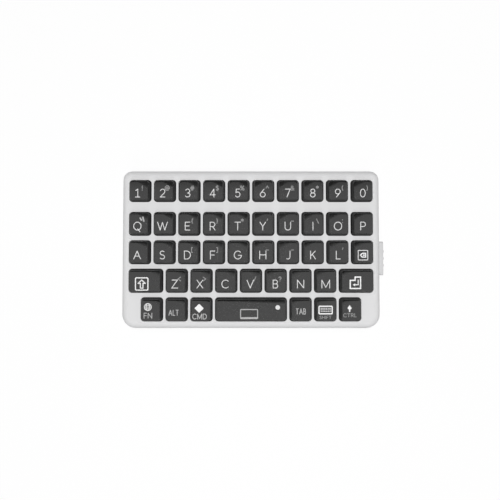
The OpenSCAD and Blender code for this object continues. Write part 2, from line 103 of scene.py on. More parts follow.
class Wire:
    """An output in a node tree. Sums and products of wires add the Math nodes for them."""

    def __init__(self, tree, socket):
        self.tree, self.socket = tree, socket

    def maths(self, operation, *values):
        node = self.tree.nodes.new("ShaderNodeMath")
        node.operation = operation
        for place, value in enumerate(values):
            feed(self.tree, node.inputs[place], value)
        return Wire(self.tree, node.outputs[0])

    def __add__(self, other):
        return self.maths("ADD", self, other)

    def __sub__(self, other):
        return self.maths("SUBTRACT", self, other)

    def __rsub__(self, other):
        return self.maths("SUBTRACT", other, self)

    def __mul__(self, other):
        return self.maths("MULTIPLY", self, other)

    def __truediv__(self, other):
        return self.maths("DIVIDE", self, other)

    __radd__, __rmul__ = __add__, __mul__


def feed(tree, socket, value):
    """Links a wire to an input, or sets the input to a plain value."""
    if isinstance(value, Wire):
        tree.links.new(value.socket, socket)
    else:
        socket.default_value = value


def add(tree, kind, inputs=None, **settings):
    """Adds a node and returns a function that gives its outputs by name or number."""
    node = tree.nodes.new(kind)
    for name, value in settings.items():
        setattr(node, name, value)
    for name, value in (inputs or {}).items():
        feed(tree, node.inputs[name], value)
    return lambda output=0: Wire(tree, node.outputs[output])


def xyz(tree, **parts):
    """A vector from its X, Y and Z. One that isn't given is 0."""
    return add(tree, "ShaderNodeCombineXYZ", parts)()


def parts_of(tree, vector):
    """A function that gives a vector's X, Y or Z."""
    return add(tree, "ShaderNodeSeparateXYZ", {0: vector})


def blend_colours(tree, share, first, second):
    node = tree.nodes.new("ShaderNodeMix")
    node.data_type = "RGBA"
    feed(tree, node.inputs[0], share)
    for place, colour in ((6, first), (7, second)):
        feed(tree, node.inputs[place], colour if isinstance(colour, Wire) else (*colour, 1))
    return Wire(tree, node.outputs[2])


def seen_directly(tree):
    """1 for camera, glossy and transmission rays, 0 for the light that falls on things."""
    path = add(tree, "ShaderNodeLightPath")
    both = path("Is Camera Ray").maths("MAXIMUM", path("Is Camera Ray"), path("Is Glossy Ray"))
    return both.maths("MAXIMUM", both, path("Is Transmission Ray"))


def shader(name, **sockets):
    """A material with one Principled shader. Constants go straight onto its sockets."""
    material = bpy.data.materials.new(name)
    material.use_nodes = True
    tree = material.node_tree
    principled = tree.nodes["Principled BSDF"]
    for socket, value in sockets.items():
        principled.inputs[socket.replace("_", " ")].default_value = value
    return material, tree, principled


def light_studio():
    world = bpy.data.worlds.new("studio")
    world.use_nodes = True
    tree = world.node_tree
    tree.nodes.clear()
    seen = seen_directly(tree)
    sky = add(tree, "ShaderNodeBackground",
              {"Color": (1, 1, 1, 1), "Strength": ROOM_LIGHT + seen * (1 - ROOM_LIGHT)})
    out = tree.nodes.new("ShaderNodeOutputWorld")
    tree.links.new(sky().socket, out.inputs["Surface"])
    bpy.context.scene.world = world
    for name, lamp in LAMPS.items():
        softbox(name, *lamp)


def hang_dark_card():
    """Black card behind the number row. Only gloss shows it, so it shapes the caps' edges."""
    mesh = bpy.data.meshes.new("dark_card")
    x, y, high = CARD_WIDTH / 2, CARD_Y, CARD_HEIGHT
    mesh.from_pydata([(-x, y, 0), (x, y, 0), (x, y, high), (-x, y, high)], [], [(0, 1, 2, 3)])
    card = bpy.data.objects.new("dark_card", mesh)
    bpy.context.scene.collection.objects.link(card)
    card.visible_camera = card.visible_diffuse = card.visible_shadow = False
    card.visible_transmission = card.visible_volume_scatter = False
    felt, _, principled = shader("Black felt", Roughness=1.0, Specular_IOR_Level=0.0)
    principled.inputs["Base Color"].default_value = (*CARD_BLACK, 1)
    mesh.materials.append(felt)


def lay_table_top():
    """Large pale sheet under the keyboard. It shows white and keeps a soft shadow. From
    below it isn't there, nor for the light that leaves the keyboard's underside."""
    mesh = bpy.data.meshes.new("table_top")
    r, z = PAPER_REACH, -PAPER_DROP
    mesh.from_pydata([(-r, -r, z), (r, -r, z), (r, r, z), (-r, r, z)], [], [(0, 1, 2, 3)])
    sheet = bpy.data.objects.new("table_top", mesh)
    bpy.context.scene.collection.objects.link(sheet)
    paper = bpy.data.materials.new("White table paper")
    paper.use_nodes = True
    tree = paper.node_tree
    tree.nodes.clear()
    seen = seen_directly(tree)
    paint = add(tree, "ShaderNodeBsdfDiffuse",
                {"Color": blend_colours(tree, seen, (PAPER_LIT,) * 3, (PAPER_SEEN,) * 3)})
    glow = add(tree, "ShaderNodeEmission", {"Color": (1, 1, 1, 1)})
    both = add(tree, "ShaderNodeMixShader", {0: seen * PAPER_GLOW, 1: paint(), 2: glow()})
    behind = add(tree, "ShaderNodeNewGeometry")("Backfacing")
    length = add(tree, "ShaderNodeLightPath")("Ray Length")
    gone = behind.maths("MAXIMUM", behind, length.maths("LESS_THAN", length, PAPER_CLEAR))
    sheet_or_none = add(tree, "ShaderNodeMixShader",
                        {0: gone, 1: both(), 2: add(tree, "ShaderNodeBsdfTransparent")()})
    out = tree.nodes.new("ShaderNodeOutputMaterial")
    tree.links.new(sheet_or_none().socket, out.inputs["Surface"])
    mesh.materials.append(paper)


place_camera()
light_studio()
hang_dark_card()
lay_table_top()
bpy.context.scene.view_settings.view_transform = "Standard"


# ---------------------------------------------------------------- finishes

FINE_DETAIL = 2.0
# Where each pattern starts and is full, as a share of the noise that makes it
MOTTLE_SPAN = 0.3, 0.7
GLOSS_SPAN = 0.55, 0.95
# Patches of the paler pointed edges, which are partly wear and partly a painted highlight
WEAR_AND_HIGHLIGHT_PATCH_SPAN = 0.35, 0.65
EDGE_SPAN = 0.52, 0.62  # how pointed an edge is where its paler tone starts and is full: part wear, part painted highlight
# How much paler a pointed edge is painted: partly wear, partly a painted highlight of light
# catching the edge
EDGE_WEAR_AND_HIGHLIGHT_PALER = 1.6
GRAIN_IN_GLOSS = 0.5    # share of the grain in the gloss, beside the mottling

CAP_PATCHES, CAP_GRAIN = 0.35, 9.0      # per mm
CAP_GRAIN_DEPTH = 0.0012                # mm
CAP_TONE_SPAN, CAP_GRAIN_IN_TONE = (0.35, 0.8), 0.2
CAP_GLOSS_SPAN, CAP_GRAIN_IN_GLOSS = (0.5, 0.9), 0.4
CAP_GLOSS_SPREAD = 0.05


def object_place(tree, scale=(1, 1, 1)):
    """Object coordinates in millimetres, stretched by a scale."""
    place = add(tree, "ShaderNodeTexCoord")("Object")
    return add(tree, "ShaderNodeMapping",
               {"Vector": place, "Scale": tuple(s / MM for s in scale)})()


def noise(tree, place, scale, detail=3.0, roughness=0.55):
    return add(tree, "ShaderNodeTexNoise",
               {"Vector": place, "Scale": scale, "Detail": detail, "Roughness": roughness})()


def between(tree, value, low, high, to_low=0.0, to_high=1.0):
    """Maps a wire from one range to another, held at both ends."""
    return add(tree, "ShaderNodeMapRange",
               {"Value": value, "From Min": low, "From Max": high,
                "To Min": to_low, "To Max": to_high})()


def bump(tree, height, depth):
    """Relief of a depth in millimetres."""
    return add(tree, "ShaderNodeBump",
               {"Height": height, "Strength": 1.0, "Distance": depth * MM})()


def finish(name, colour, mottle=0.04, patch=9.0, grain=0.12, depth=0.004, roughness=0.4,
           spread=0.12, edge_wear_and_highlight=0.0, stretch=(1, 1, 1), **sockets):
    """Moulded or metal finish: soft mottling, fine grain in relief and paler pointed edges,
    partly wear and partly a painted highlight.
    patch and grain are sizes in millimetres, and depth is the height of the grain."""
    material, tree, principled = shader(name, **sockets)
    place = object_place(tree, stretch)
    patches = noise(tree, place, 1 / patch)
    fine = noise(tree, place, 1 / grain, FINE_DETAIL)
    darker = tuple(c * (1 - mottle) for c in colour)
    lighter = tuple(min(1.0, c * (1 + mottle)) for c in colour)
    tone = blend_colours(tree, between(tree, patches, *MOTTLE_SPAN), darker, lighter)
    # Pointed edges are painted paler in patches, partly as wear and partly as a painted
    # highlight of light catching them
    if edge_wear_and_highlight:
        edge = between(tree, add(tree, "ShaderNodeNewGeometry")("Pointiness"), *EDGE_SPAN)
        patchy_wear_and_highlight = edge * between(tree, fine, *WEAR_AND_HIGHLIGHT_PATCH_SPAN)
        tone = blend_colours(tree, patchy_wear_and_highlight * edge_wear_and_highlight, tone,
                             tuple(min(1.0, c * EDGE_WEAR_AND_HIGHLIGHT_PALER) for c in colour))
    feed(tree, principled.inputs["Base Color"], tone)
    gloss = between(tree, patches + fine * GRAIN_IN_GLOSS, *GLOSS_SPAN,
                    roughness - spread / 2, roughness + spread / 2)
    feed(tree, principled.inputs["Roughness"], gloss)
    feed(tree, principled.inputs["Normal"], bump(tree, fine, depth))
    return material


def cap_finish(name, darker, lighter, roughness, ior, specular):
    """Dark key plastic between two greys, a little uneven in its colour and its gloss."""
    material, tree, principled = shader(name, IOR=ior, Specular_IOR_Level=specular)
    place = object_place(tree)
    patches = noise(tree, place, CAP_PATCHES)
    fine = noise(tree, place, CAP_GRAIN, FINE_DETAIL)
    feed(tree, principled.inputs["Base Color"],
         blend_colours(tree, between(tree, patches + fine * CAP_GRAIN_IN_TONE, *CAP_TONE_SPAN),
                       (darker,) * 3, (lighter,) * 3))
    feed(tree, principled.inputs["Roughness"],
         between(tree, patches + fine * CAP_GRAIN_IN_GLOSS, *CAP_GLOSS_SPAN,
                 roughness - CAP_GLOSS_SPREAD, roughness + CAP_GLOSS_SPREAD))
    feed(tree, principled.inputs["Normal"], bump(tree, fine, CAP_GRAIN_DEPTH))
    return material


def ink_finish(name, colour):
    """Screen-printed ink, a little uneven where the mesh let less of it through."""
    return finish(name, colour, mottle=0.06, patch=0.8, grain=0.08, depth=0.001,
                  roughness=0.5, spread=0.1)


SHELL = finish("Pale grey moulded shell", (0.70, 0.70, 0.705), mottle=0.012, patch=14,
               grain=0.10, depth=0.003, roughness=0.46, spread=0.10, IOR=1.46)
CAP_TOPS = cap_finish("Rubbed key cap tops", 0.012, 0.016, 0.27, 1.62, 0.5)
CAP_WALLS = cap_finish("Dark satin key cap walls", 0.036, 0.046, 0.50, 1.46, 0.10)
INK = ink_finish("Pale key legend ink", (0.73, 0.73, 0.73))
DIM_INK = ink_finish("Thin pale key word ink", (0.44, 0.44, 0.44))
BRIGHT_INK = ink_finish("White key symbol ink", (0.86, 0.86, 0.86))
FAINT_INK = ink_finish("Grey second legend ink", (0.26, 0.26, 0.26))
# The knob, socket steel, nylon and screws get paler pointed edges: partly wear, partly a
# painted highlight
KNOB = finish("Pale grey switch knob", (0.60, 0.60, 0.605), mottle=0.015, patch=5,
              grain=0.08, depth=0.004, roughness=0.5, edge_wear_and_highlight=0.3, IOR=1.46)
RUBBER = finish("Translucent dome silicone", (0.62, 0.62, 0.58), mottle=0.04, patch=6,
                grain=0.2, depth=0.003, roughness=0.6)
BOARD = finish("Green solder mask", (0.012, 0.12, 0.05), mottle=0.2, patch=2.2, grain=0.3,
               depth=0.006, roughness=0.35)
CAN = finish("Tin-plated shielding can", (0.66, 0.66, 0.66), mottle=0.05, patch=3, grain=0.15,
             depth=0.003, roughness=0.32, Metallic=1.0)
FOIL = finish("Crinkled cell foil", (0.60, 0.61, 0.63), mottle=0.08, patch=4, grain=1.4,
              depth=0.05, roughness=0.35, Metallic=0.8)
FOAM = finish("Black adhesive foam", (0.03, 0.03, 0.03), mottle=0.3, patch=1, grain=0.25,
              depth=0.05, roughness=0.9)
STEEL = finish("Nickel-plated socket steel", (0.62, 0.62, 0.61), mottle=0.05, patch=2,
               grain=0.2, depth=0.002, roughness=0.26, edge_wear_and_highlight=0.2, stretch=(1, 0.08, 1),
               Metallic=1.0)
GOLD = finish("Gold-plated contacts", (0.83, 0.62, 0.26), mottle=0.05, patch=1, grain=0.2,
              depth=0.002, roughness=0.25, Metallic=1.0)
BLACK = finish("Black moulded nylon", (0.012, 0.012, 0.013), mottle=0.1, patch=2, grain=0.1,
               depth=0.004, roughness=0.5, edge_wear_and_highlight=0.2)
SCREW = finish("Zinc-plated screws", (0.52, 0.53, 0.54), mottle=0.06, patch=1, grain=0.06,
               depth=0.003, roughness=0.34, edge_wear_and_highlight=0.3, Metallic=1.0)
LENS_GLASS = finish("Clear light lens", (0.80, 0.84, 0.80), mottle=0.02, patch=1, grain=0.3,
                    depth=0.001, roughness=0.12, IOR=1.49)


LEAD_COLOURS_MEET = -5.01, -4.99      # mm, from the middle towards the back edge


def wire_finish():
    """Lead insulation: red towards the front, black towards the back."""
    material, tree, principled = shader("Red and black lead insulation")
    place = object_place(tree)
    back = between(tree, parts_of(tree, place)("Y"), *LEAD_COLOURS_MEET)
    fine = noise(tree, place, 6.0)
    red = blend_colours(tree, fine, (0.36, 0.012, 0.010), (0.46, 0.020, 0.016))
    feed(tree, principled.inputs["Base Color"],
         blend_colours(tree, back, red, (0.012, 0.012, 0.012)))
    feed(tree, principled.inputs["Roughness"], between(tree, fine, 0.3, 0.7, 0.38, 0.5))
    feed(tree, principled.inputs["Normal"], bump(tree, fine, 0.002))
    return material


# ---------------------------------------------------------------- building pieces

SMOOTH_UP_TO = 36       # degrees between two faces, past which their edge stays sharp


def new_tree(name, sizes):
    """Geometry tree with named inputs for its sizes. Gives the tree and the inputs' wires."""
    tree = bpy.data.node_groups.new(name, "GeometryNodeTree")
    for title, value in sizes.items():
        kind = {int: "NodeSocketInt", float: "NodeSocketFloat"}.get(type(value),
                                                                    "NodeSocketMaterial")
        socket = tree.interface.new_socket(title, in_out="INPUT", socket_type=kind)
        if value is not None:
            socket.default_value = value
    tree.interface.new_socket("Geometry", in_out="OUTPUT", socket_type="NodeSocketGeometry")
    inputs = tree.nodes.new("NodeGroupInput")
    return tree, {title: Wire(tree, inputs.outputs[title]) for title in sizes}


def place_of(tree):
    """The place of each point of a geometry."""
    return add(tree, "GeometryNodeInputPosition")()


def all_of(tree, *parts):
    """Several geometries as one."""
    node = tree.nodes.new("GeometryNodeJoinGeometry")
    for part in parts:
        tree.links.new(part.socket, node.inputs[0])
    return Wire(tree, node.outputs[0])


def row_of(tree, thing, count, pitch, **start):
    """Copies of a thing in a row to the right, the first one at a start, in X, Y and Z."""
    line = add(tree, "GeometryNodeMeshLine",
               {"Count": count, "Start Location": xyz(tree, **start),
                "Offset": xyz(tree, X=pitch)})
    return copies(tree, thing, line())


def copies(tree, thing, places):
    """A copy of a thing at each point of a geometry."""
    return add(tree, "GeometryNodeInstanceOnPoints", {"Points": places, "Instance": thing})()


def cut_away(tree, body, *tools):
    """A body less the tools that cut it."""
    node = tree.nodes.new("GeometryNodeMeshBoolean")
    node.operation = "DIFFERENCE"
    for title, thing in (("Mesh 1", body), *(("Mesh 2", tool) for tool in tools)):
        tree.links.new(thing.socket, node.inputs[title])
    return Wire(tree, node.outputs[0])


def close_tree(tree, geometry, material, top_material=None, above=0.0):
    """Ends a tree: real instances, smooth faces with the sharp edges kept, and the material.
    Faces above a height may have a second material."""
    real = add(tree, "GeometryNodeRealizeInstances", {"Geometry": geometry})
    angle = add(tree, "GeometryNodeInputMeshEdgeAngle")("Unsigned Angle")
    sharp = angle.maths("GREATER_THAN", angle, math.radians(SMOOTH_UP_TO))
    smooth = add(tree, "GeometryNodeSetShadeSmooth",
                 {"Geometry": real(), "Selection": sharp, "Shade Smooth": False}, domain="EDGE")
    painted = add(tree, "GeometryNodeSetMaterial", {"Geometry": smooth(), "Material": material})
    if top_material:
        height = parts_of(tree, place_of(tree))("Z")
        painted = add(tree, "GeometryNodeSetMaterial",
                      {"Geometry": painted(), "Material": top_material,
                       "Selection": height.maths("GREATER_THAN", height, above)})
    out = tree.nodes.new("NodeGroupOutput")
    tree.links.new(painted().socket, out.inputs[0])


def run_trees(jobs):
    """Runs each (name, tree, sizes) and gives its plain mesh, with no modifier left."""
    made = []
    for name, tree, sizes in jobs:
        thing = bpy.data.objects.new(name, bpy.data.meshes.new(name))
        bpy.context.scene.collection.objects.link(thing)
        modifier = thing.modifiers.new("shape", "NODES")
        modifier.node_group = tree
        keys = {item.name: item.identifier for item in tree.interface.items_tree
                if item.in_out == "INPUT"}
        for title, value in sizes.items():
            modifier[keys[title]] = value
        made.append(thing)
    depsgraph = bpy.context.evaluated_depsgraph_get()
    meshes = [bpy.data.meshes.new_from_object(thing.evaluated_get(depsgraph),
                                              depsgraph=depsgraph) for thing in made]
    for thing in made:
        bpy.data.objects.remove(thing)
    return meshes


def join(name, meshes):
    """One mesh out of several, each face with its own material."""
    whole = bmesh.new()
    materials = []
    for mesh in meshes:
        places = []
        for material in mesh.materials:
            if material not in materials:
                materials.append(material)
            places.append(materials.index(material))
        first = len(whole.faces)
        whole.from_mesh(mesh)
        whole.faces.ensure_lookup_table()
        for face in whole.faces[first:]:
            face.material_index = places[face.material_index]
    joined = bpy.data.meshes.new(name)
    whole.to_mesh(joined)
    whole.free()
    for material in materials:
        joined.materials.append(material)
    return joined


def put(name, mesh, body, slot, *nodes):
    """A finished piece: it rides a body and stands for the frame's plain nodes."""
    mesh.name = name
    piece = bpy.data.objects.new(name, mesh)
    bpy.context.scene.collection.objects.link(piece)
    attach(piece, body)
    if nodes:
        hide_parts(*nodes)
    return piece


# ---------------------------------------------------------------- key caps

FLANGE_REACH = 0.38     # mm, past a cap's wall
FLANGE = (6.77, 7.27)   # mm above the desk, bottom and top
STEM_FOOT = 6.52
CASE_FACE = 8.42
SHOULDER = 10.22        # mm above the desk, where the rounding starts
CAP_LEAN = 0.3          # mm, how far a wall leans in up to the shoulder
CAP_TOP = 10.62
CAP_CORNER = 0.81
CAP_ROUND = 0.45        # mm, seen from above
ROUND_STEPS = 6
TOP_RINGS = 11          # between the rounding and the middle of the top
SAG_ACROSS, SAG_ALONG = 0.12, 0.08      # mm, how far the top bulges over the cap's width
# A cap's top falls away softly towards the back corner nearest the keyboard's middle
# Degrees from the row, mm from the corner, and depth there as a share of that reach
FALL = 60, 1.85, 0.2
SPACE_FALL = 88, 1.25, 0.3
FALL_POWER = 1.5
OUTLINE_POINTS = 96     # round a cap
CORNER_POINTS = 8       # in each of its corners
OVERLAP = 0.1           # mm that one part of a cap reaches into the next
TOP_PAINT = 0.25        # mm below the shoulder, where the finish of the top starts
WELD = 0.001            # mm
STEM_SIDES = 20
KEY_PITCH = 7.12        # mm
LONG_KEY = 18           # mm, a wider key has three stems


def rounded_plate(tree, width, depth, radius, height):
    """Flat face with round corners at a height."""
    outline = add(tree, "GeometryNodeCurvePrimitiveQuadrilateral",
                  {"Width": width, "Height": depth})
    rounded = add(tree, "GeometryNodeFilletCurve",
                  {"Curve": outline(), "Radius": radius, "Count": CORNER_POINTS,
                   "Limit Radius": True},
                  mode="POLY")
    evenly = add(tree, "GeometryNodeResampleCurve",
                 {"Curve": rounded(), "Count": OUTLINE_POINTS}, mode="COUNT")
    face = add(tree, "GeometryNodeFillCurve", {"Curve": evenly()}, mode="NGONS")
    return add(tree, "GeometryNodeSetPosition",
               {"Geometry": face(), "Offset": xyz(tree, Z=height)})()


def rise(tree, geometry, top, offset):
    """Extrudes the chosen faces straight up and gives the new geometry and its top."""
    inputs = {"Mesh": geometry, "Offset": xyz(tree, Z=offset), "Offset Scale": 1.0,
              "Individual": False}
    if top is not None:
        inputs["Selection"] = top
    node = add(tree, "GeometryNodeExtrudeMesh", inputs, mode="FACES")
    return node("Mesh"), node("Top")


def closed(tree, base, risen):
    """Puts the turned-over base back under a risen face and welds the two."""
    under = add(tree, "GeometryNodeFlipFaces", {"Mesh": base})()
    return add(tree, "GeometryNodeMergeByDistance",
               {"Geometry": all_of(tree, under, risen), "Distance": WELD * MM})()


def key_cap_tree():
    """Cap whose walls lean in and round over into a bulging top, on its flange and stems."""
    tree, size = new_tree("Key cap", {
        "Width": 6.04 * MM, "Depth": 6.48 * MM, "Corner": CAP_CORNER * MM,
        "Flange Reach": FLANGE_REACH * MM, "Flange Bottom": FLANGE[0] * MM,
        "Flange Top": FLANGE[1] * MM, "Case Face": CASE_FACE * MM, "Lean": CAP_LEAN * MM,
        "Shoulder": SHOULDER * MM, "Top": CAP_TOP * MM,
        "Round": CAP_ROUND * MM, "Sag Across": SAG_ACROSS * MM,
        "Sag Along": SAG_ALONG * MM, "Fall Across": 0.5, "Fall Along": 0.87,
        "Fall Reach": FALL[1] * MM, "Fall Slope": FALL[2], "Stem Foot": STEM_FOOT * MM,
        "Stem Radius": 1.3 * MM,
        "Stem Pitch": KEY_PITCH * MM, "Stems": 1, "Wall Plastic": None, "Top Plastic": None})
    width, depth = size["Width"], size["Depth"]
    foot = size["Flange Top"] - OVERLAP * MM
    base = rounded_plate(tree, width, depth, size["Corner"], foot)
    plan = add(tree, "GeometryNodeStoreNamedAttribute",
               {"Geometry": base, "Name": "plan", "Value": place_of(tree)},
               data_type="FLOAT_VECTOR", domain="POINT")()
    corner = parts_of(tree, add(tree, "GeometryNodeInputNamedAttribute", {"Name": "plan"},
                                data_type="FLOAT_VECTOR")())
    across = size["Fall Across"]
    top_width, top_depth = width - size["Lean"] * 2, depth - size["Lean"] * 2
    corner_reach = (top_width * across.maths("ABSOLUTE", across)
                    + top_depth * size["Fall Along"]) / 2
    body, top = rise(tree, plan, None, size["Case Face"] - foot)

    def ring(body, top, share, rounded, scale=1.0):
        """One ring further in by a share of the rounding, and as far up it."""
        body, top = rise(tree, body, top, 0.0)
        inwards = size["Round"] * share * 2
        x = corner("X") / width * (top_width - inwards) * scale
        y = corner("Y") / depth * (top_depth - inwards) * scale
        across, along = x * 2 / top_width, y * 2 / top_depth
        sag = size["Sag Across"] * across * across + size["Sag Along"] * along * along
        short = corner_reach - x * size["Fall Across"] - y * size["Fall Along"]
        fallen = 1 - short / size["Fall Reach"]
        fallen = fallen.maths("MAXIMUM", fallen, 0.0)
        fall = fallen.maths("POWER", fallen, FALL_POWER) * size["Fall Reach"] \
            * size["Fall Slope"]
        z = size["Shoulder"] + (size["Top"] - size["Shoulder"] - sag) * rounded - fall
        moved = add(tree, "GeometryNodeSetPosition",
                    {"Geometry": body, "Selection": top, "Position": xyz(tree, X=x, Y=y, Z=z)})
        return moved(), top

    for step in range(ROUND_STEPS + 1):
        turn = math.pi / 2 * step / ROUND_STEPS
        body, top = ring(body, top, 1 - math.cos(turn), math.sin(turn))
    for step in range(TOP_RINGS):
        body, top = ring(body, top, 1.0, 1.0, 1 - (step + 1) / (TOP_RINGS + 1))
    cap = closed(tree, plan, body)

    wider = size["Flange Reach"] * 2
    flange = rounded_plate(tree, width + wider, depth + wider,
                           size["Corner"] + size["Flange Reach"], size["Flange Bottom"])
    rim, _ = rise(tree, flange, None, size["Flange Top"] - size["Flange Bottom"])
    flange = closed(tree, flange, rim)

    stem_height = size["Flange Bottom"] - size["Stem Foot"] + OVERLAP * MM
    stem = add(tree, "GeometryNodeMeshCylinder",
               {"Vertices": STEM_SIDES, "Radius": size["Stem Radius"], "Depth": stem_height})()
    stems = row_of(tree, stem, size["Stems"], size["Stem Pitch"],
                   X=(size["Stems"] - 1) * size["Stem Pitch"] / -2,
                   Z=size["Stem Foot"] + stem_height / 2)
    close_tree(tree, all_of(tree, stems, flange, cap), size["Wall Plastic"],
               size["Top Plastic"], size["Shoulder"] - TOP_PAINT * MM)
    return tree


# ---------------------------------------------------------------- key legends

INK_THICKNESS = 0.015   # mm
INK_ROOT = 0.02         # mm that ink reaches down into a cap
INK_STEP = 0.45         # mm, the longest step of a line that follows a bulging top
LEGEND_NUDGE = Vector((-0.10, 0.10))     # mm, for all the print on a key
LETTER_HEIGHT = 2.25    # mm between the middles of a capital's top and bottom strokes
LETTER_LINE = 0.21      # mm, its stroke
LETTER_Y = -0.94        # mm from the middle of a key's window
NUMBER_Y = -1.05
LETTER_X = -0.12
LETTER_GAP = 0.34       # between letters, as a share of a capital's height
SECOND = (1.30, 1.42)   # mm, from the first legend to the second
SECOND_HEIGHT = 1.20
SECOND_LINE = 0.26
SECOND_MARKS = dict(zip("1234567890", "!@#$%^&*()"))
SECOND_MARKS.update(zip("qertyuiodfhjlzxvb", "\"{}*'-\\:[]--'<>/?"))
BOLD_MARKS = {"q": (DIM_INK, 1.6, 0.42)}     # ink, height and line width
ARC_STEP = 15           # degrees, about, between the points of an arc
GENTLE_BEND = 0.85      # cosine of the sharpest bend that is mitred
SAME_PLACE = 1e-3       # mm between points that count as one
SHORTEST_STEP = 1e-4    # mm
WIDEST_FILL = 6         # mm, the side of a square that holds any filled mark
WORDS = {               # middle across and along, height and width, mm
    "fn": (-0.51, -1.64, 1.43, 2.2), "alt": (-0.37, -0.81, 1.46, 2.7),
    "cmd": (-0.18, -1.89, 1.43, 3.9), "tab": (-0.08, -0.45, 1.5, 2.7),
    "shift": (-0.28, -2.12, 0.8, 3.2), "ctrl": (-0.48, -1.52, 0.95, 3.6)}


def arc(x, y, across, up, start, end):
    """Points on part of an ellipse."""
    steps = max(2, round(abs(end - start) / ARC_STEP))
    angles = [math.radians(start + (end - start) * i / steps) for i in range(steps + 1)]
    return [(x + across * math.cos(a), y + up * math.sin(a)) for a in angles]


def mirrored(width, strokes):
    return [[(width - x, y) for x, y in stroke] for stroke in strokes]


